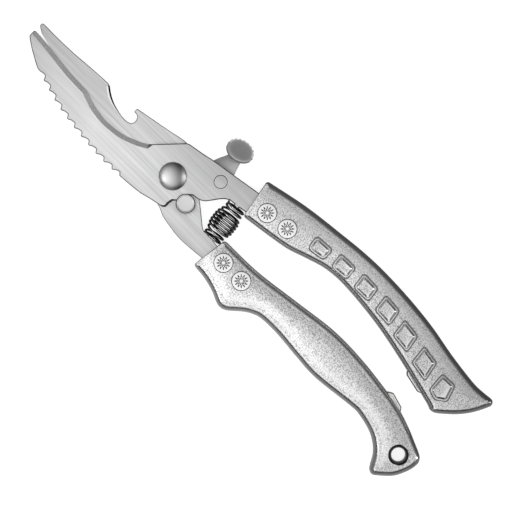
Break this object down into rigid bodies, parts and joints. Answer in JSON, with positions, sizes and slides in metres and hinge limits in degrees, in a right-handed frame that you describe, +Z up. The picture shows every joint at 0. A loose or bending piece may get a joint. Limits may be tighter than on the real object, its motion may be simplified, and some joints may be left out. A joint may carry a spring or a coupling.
{
  "type": "poultry shears",
  "caption": "Spring-loaded poultry shears with a serrated blade, a bone notch, riveted cast handles, a thumb lock and a hanging hole.",
  "frame": {"origin": "centre of the main rivet's flat back, on the blades' pivot axis, in the plane that the shears lie on", "axes": "+X along the shears towards the blade tips, +Y towards the serrated back, +Z up from the surface towards the domed rivet head"},
  "size_m": [0.2503, 0.0648, 0.014],
  "materials": {
    "blade_steel": "fine lengthwise brushing, satin",
    "rivet_steel": "polished",
    "washer_steel": "plain turned",
    "cast_handle": "fine cast grain, satin silver",
    "spring_wire": "glossy black",
    "pad_plastic": "smooth"
  },
  "bodies": {
    "front_half": {"front_blade": "blade_steel", "upper_handle": "cast_handle", "upper_front_rivet_pin": "rivet_steel", "upper_front_rivet_tube": "rivet_steel", "upper_rear_rivet_pin": "rivet_steel", "upper_rear_rivet_tube": "rivet_steel", "upper_stop_pad": "pad_plastic", "pivot_rivet": "rivet_steel", "pivot_washer": "washer_steel", "lock_rivet": "rivet_steel", "lock_spring_washer": "washer_steel", "opening_spring": "spring_wire"},
    "rear_half": {"rear_blade": "blade_steel", "lower_handle": "cast_handle", "lower_front_rivet_pin": "rivet_steel", "lower_front_rivet_tube": "rivet_steel", "lower_rear_rivet_pin": "rivet_steel", "lower_rear_rivet_tube": "rivet_steel", "lower_stop_pad": "pad_plastic", "stop_stud": "rivet_steel", "lock_catch": "blade_steel"},
    "lever": {"lock_lever": "blade_steel"}
  },
  "joints": [
    {"name": "blades_pivot", "type": "hinge", "parent": "front_half", "child": "rear_half", "pos_m": [0, 0, 0], "axis": [0, 0, 1], "range_deg": [-22.5, 3.9], "stiffness_Nm_per_rad": 1, "deforming": ["opening_spring"]},
    {"name": "lock_turn", "type": "hinge", "parent": "front_half", "child": "lever", "pos_m": [-0.0161, -0.0127, 0], "axis": [0, 0, 1], "range_deg": [0, 19]}
  ]
}
